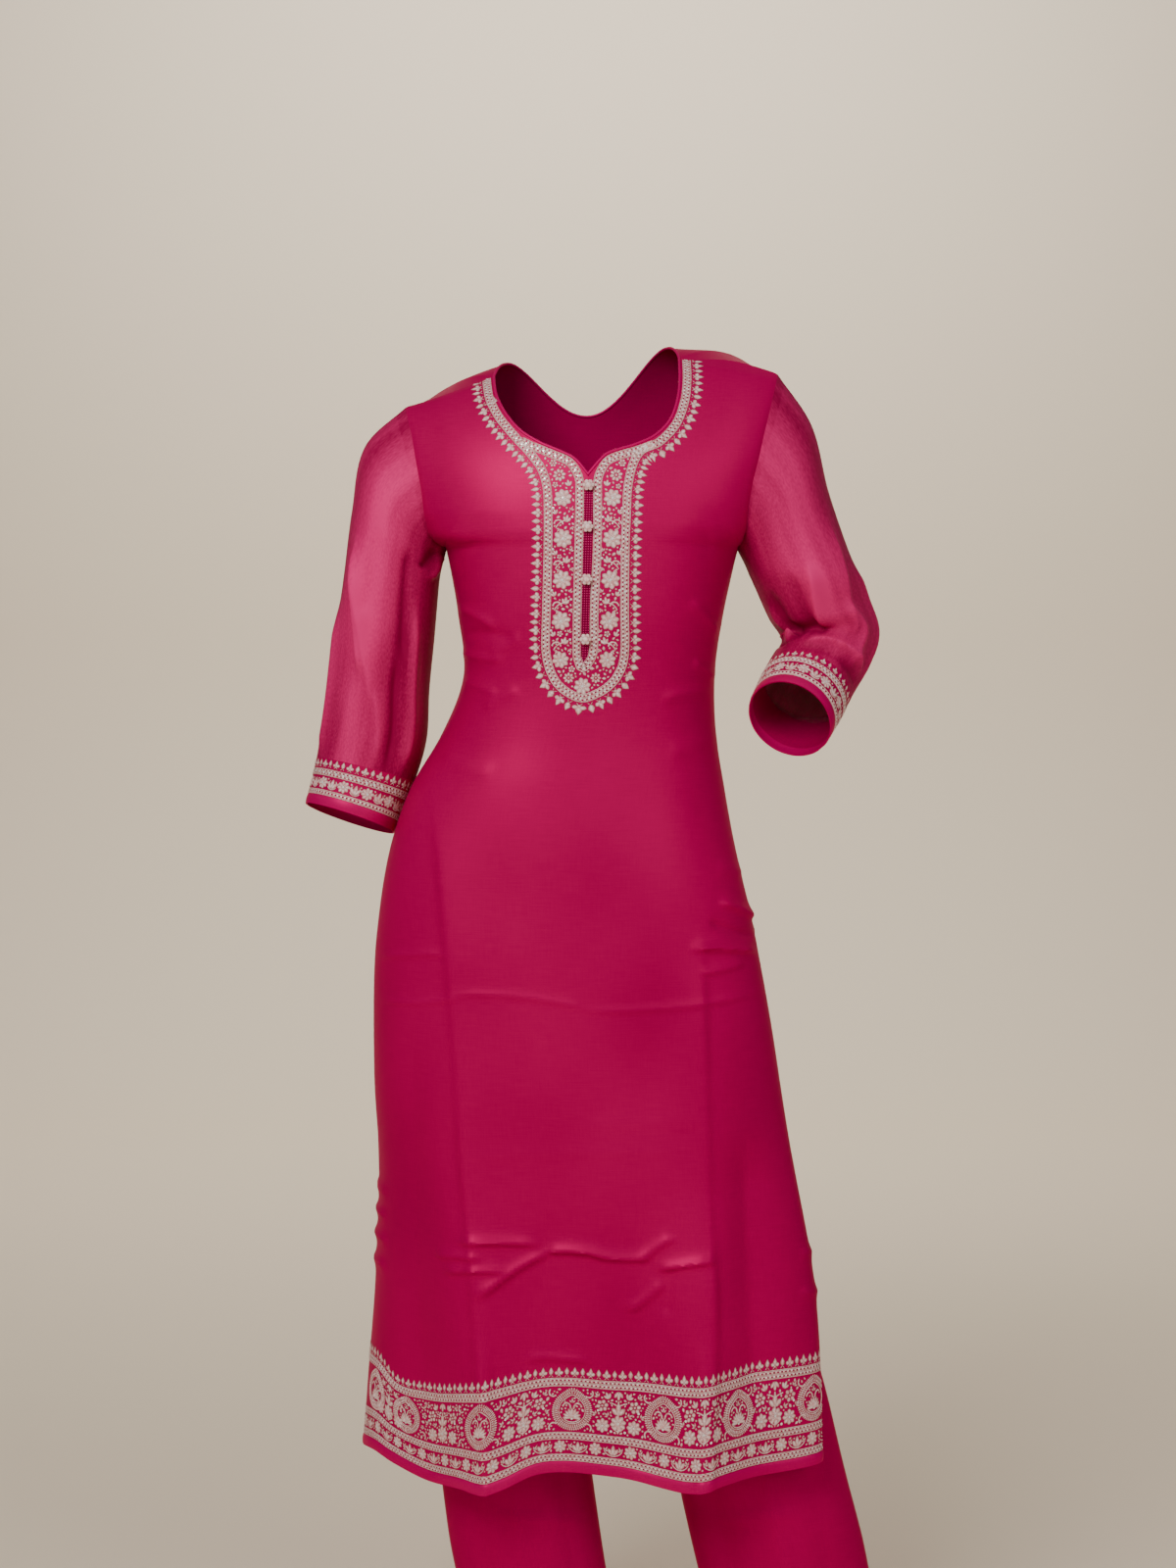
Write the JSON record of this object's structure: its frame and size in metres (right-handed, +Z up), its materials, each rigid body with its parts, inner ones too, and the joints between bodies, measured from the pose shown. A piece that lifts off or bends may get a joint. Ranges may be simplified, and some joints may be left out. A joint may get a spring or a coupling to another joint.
{
  "type": "salwar kameez suit",
  "caption": "Worn salwar kameez suit: straight knee-length kameez with sheer three-quarter sleeves, embroidered neck, yoke and hem, over straight trousers.",
  "frame": {"origin": "on the wearer's middle line, level with the tops of the shoulders: 18 mm above the shoulder seam at the right side of the neck and 1 mm below it at the left side", "axes": "+Z up, -Y the wearer's front, +X the wearer's left"},
  "size_m": [0.6143, 0.2684, 1.3832],
  "materials": {
    "silk": "satin weave with fine slubs",
    "sheer": "sheer georgette",
    "band": "plain satin, folded",
    "border": "satin under dense embroidery",
    "thread": "rose-gold thread",
    "insert": "looped cord, ribbed"
  },
  "bodies": {
    "root": {"kameez_front": "silk", "kameez_back": "silk", "sleeve_right": "sheer", "sleeve_left": "sheer", "cuff_border_right": "border", "cuff_border_left": "border", "cuff_band_right": "band", "cuff_band_left": "band", "hem_band_front": "band", "hem_band_back": "band", "neck_piping": "silk", "placket_insert": "insert", "button_1": "thread", "button_2": "thread", "button_3": "thread", "button_4": "thread", "trouser_right": "silk", "trouser_left": "silk", "waistband": "silk"}
  },
  "joints": []
}
